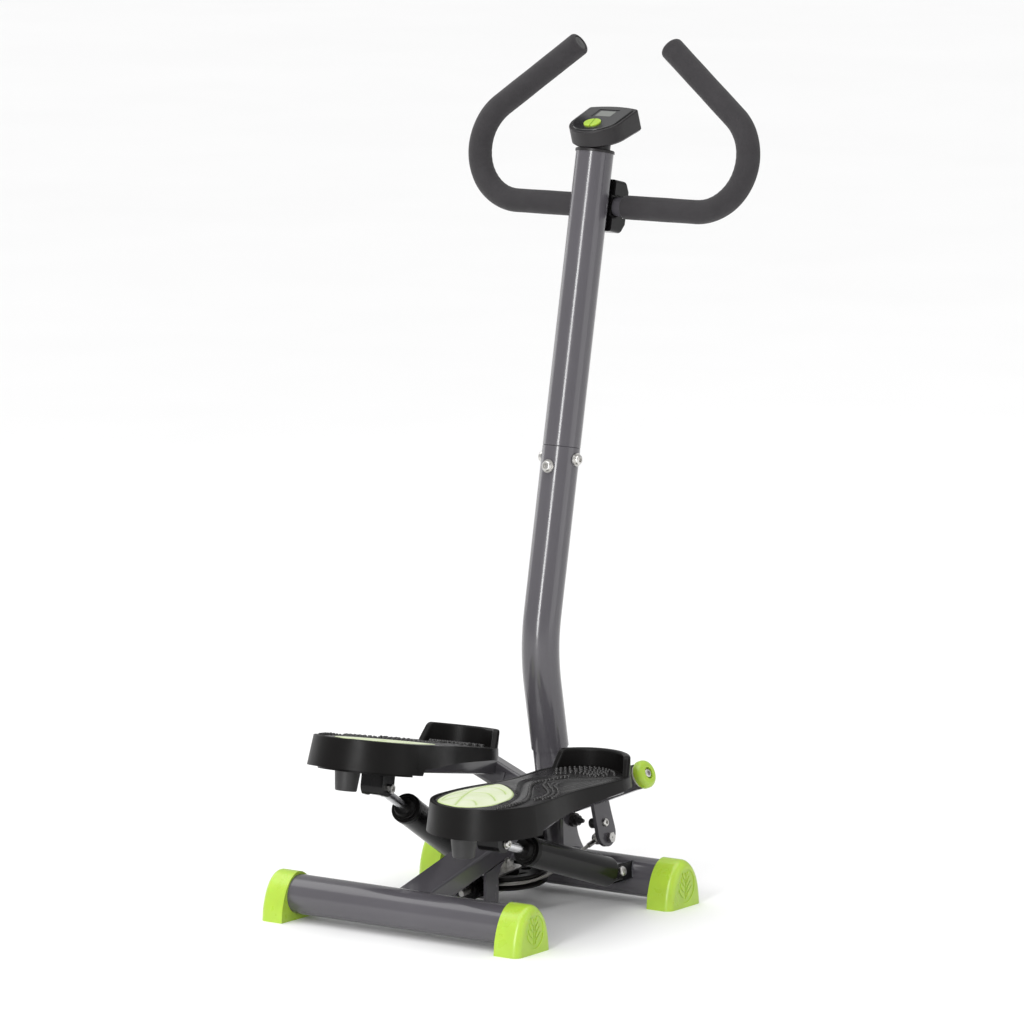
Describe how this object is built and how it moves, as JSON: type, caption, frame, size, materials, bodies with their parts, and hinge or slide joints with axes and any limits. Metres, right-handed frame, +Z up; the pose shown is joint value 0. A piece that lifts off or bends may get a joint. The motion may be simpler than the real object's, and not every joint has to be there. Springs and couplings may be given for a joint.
{
  "type": "stepper",
  "caption": "Compact step trainer: two coupled foot pedals on inclined pivots with hydraulic cylinders, cable and pulley, a bent post with a curved foam handlebar and a small console.",
  "frame": {"origin": "on the floor under the middle of the whole object at its stored pose", "axes": "+Z up, +Y away from the user towards the post, +X the user's right"},
  "size_m": [0.4402, 0.5396, 1.078],
  "materials": {
    "frame_grey": "metallic dark grey gloss paint",
    "arm_black": "semi-gloss black powder coat",
    "lime_plastic": "satin lime green moulding",
    "tread_black": "fine-grained black moulding",
    "pad_green": "pale green soft-touch inlay",
    "rubber_black": "moulded rubber",
    "foam_grip": "closed-cell foam, matt",
    "zinc_steel": "bright zinc plate",
    "chrome_rod": "ground and chromed",
    "cable_steel": "stranded steel",
    "nylon_bush": "natural nylon",
    "console_black": "satin black moulding",
    "console_face": "dark grey glossy overlay",
    "lcd_glass": "reflective grey-green display"
  },
  "bodies": {
    "frame": {"adjuster_rod": "zinc_steel", "bar_clamp": "arm_black", "battery_cover": "console_black", "cable": "cable_steel", "console_face": "console_face", "console_housing": "console_black", "cylinder_brackets": "arm_black", "end_cap_front_left": "lime_plastic", "end_cap_front_right": "lime_plastic", "end_cap_rear_left": "lime_plastic", "end_cap_rear_right": "lime_plastic", "front_floor_tube": "frame_grey", "grip_left": "foam_grip", "grip_right": "foam_grip", "handlebar_tube": "frame_grey", "knob_bracket": "frame_grey", "lcd_window": "lcd_glass", "lower_post": "frame_grey", "main_beam": "frame_grey", "mast_column": "frame_grey", "mast_plates": "frame_grey", "mast_stops": "rubber_black", "pivot_cap_left": "lime_plastic", "pivot_cap_right": "lime_plastic", "pivot_shafts": "zinc_steel", "post_bolts": "zinc_steel", "post_collar": "console_black", "pulley_bolt": "zinc_steel", "pulley_yoke": "zinc_steel", "rear_floor_tube": "frame_grey", "side_bolts": "zinc_steel", "upper_post": "frame_grey"},
    "left_pedal": {"left_pedal_shell": "tread_black", "left_heel_pad": "pad_green", "left_pedal_arm": "frame_grey", "left_sleeve_bushes": "nylon_bush", "left_pedal_bolts": "zinc_steel", "left_lever_bumper": "rubber_black", "left_pedal_base": "tread_black", "left_pedal_bumper": "rubber_black", "left_rod_clevis": "arm_black"},
    "right_pedal": {"right_pedal_shell": "tread_black", "right_heel_pad": "pad_green", "right_pedal_arm": "frame_grey", "right_sleeve_bushes": "nylon_bush", "right_pedal_bolts": "zinc_steel", "right_lever_bumper": "rubber_black", "right_pedal_base": "tread_black", "right_pedal_bumper": "rubber_black", "right_rod_clevis": "arm_black"},
    "left_cylinder": {"left_cylinder_body": "arm_black", "left_cylinder_gland": "tread_black"},
    "right_cylinder": {"right_cylinder_body": "arm_black", "right_cylinder_gland": "tread_black"},
    "left_rod": {"left_piston_rod": "chrome_rod"},
    "right_rod": {"right_piston_rod": "chrome_rod"},
    "pulley_wheel": {"pulley": "tread_black"},
    "knob": {"adjuster_knob": "tread_black"},
    "left_key": {"left_console_button": "lime_plastic"},
    "right_key": {"right_console_button": "lime_plastic"}
  },
  "joints": [
    {"name": "left_pedal_swing", "type": "hinge", "parent": "frame", "child": "left_pedal", "pos_m": [0, 0.0952, 0.108], "axis": [-0.9245, 0, 0.3811], "range_deg": [-21.4, 10], "deforming": ["cable"]},
    {"name": "right_pedal_swing", "type": "hinge", "parent": "frame", "child": "right_pedal", "pos_m": [0, 0.0952, 0.108], "axis": [-0.9245, 0, -0.3811], "range_deg": [-10.2, 21.6]},
    {"name": "left_cylinder_swing", "type": "hinge", "parent": "frame", "child": "left_cylinder", "pos_m": [-0.117, 0.0632, 0.041], "axis": [-0.9245, 0, 0.3811], "range_deg": [-20.8, 9.88]},
    {"name": "right_cylinder_swing", "type": "hinge", "parent": "frame", "child": "right_cylinder", "pos_m": [0.117, 0.0632, 0.041], "axis": [-0.9245, 0, -0.3811], "range_deg": [-9.7, 20.42]},
    {"name": "left_rod_slide", "type": "slide", "parent": "left_cylinder", "child": "left_rod", "axis": [0.1427, -0.8718, 0.4686], "range_m": [-0.0415, 0.01961]},
    {"name": "right_rod_slide", "type": "slide", "parent": "right_cylinder", "child": "right_rod", "axis": [-0.0734, -0.9475, 0.3112], "range_m": [-0.01951, 0.04129]},
    {"name": "pulley_spin", "type": "hinge", "parent": "frame", "child": "pulley_wheel", "pos_m": [0, -0.0038, 0.0375], "axis": [0, -0.0698, 0.9976], "range_deg": [-25, 12]},
    {"name": "knob_turn", "type": "hinge", "parent": "frame", "child": "knob", "pos_m": [0, -0.0768, 0.0324], "axis": [0, 0.9976, 0.0698], "range_deg": [-720, 720]},
    {"name": "left_key_press", "type": "slide", "parent": "frame", "child": "left_key", "axis": [0, 0.3338, -0.9426], "range_m": [0, 0.001], "stiffness_N_per_m": 500, "springref_m": -0.001},
    {"name": "right_key_press", "type": "slide", "parent": "frame", "child": "right_key", "axis": [0, 0.3338, -0.9426], "range_m": [0, 0.001], "stiffness_N_per_m": 500, "springref_m": -0.001}
  ],
  "couplings": [
    {"joint": "right_pedal_swing", "follows": "left_pedal_swing", "ratio": -1},
    {"joint": "left_cylinder_swing", "follows": "left_pedal_swing", "ratio": 0.9579},
    {"joint": "right_cylinder_swing", "follows": "left_pedal_swing", "ratio": -0.9403},
    {"joint": "left_rod_slide", "follows": "left_pedal_swing", "m_per_rad": 0.11005},
    {"joint": "right_rod_slide", "follows": "left_pedal_swing", "m_per_rad": -0.10948},
    {"joint": "pulley_spin", "follows": "left_pedal_swing", "ratio": 1.15}
  ]
}
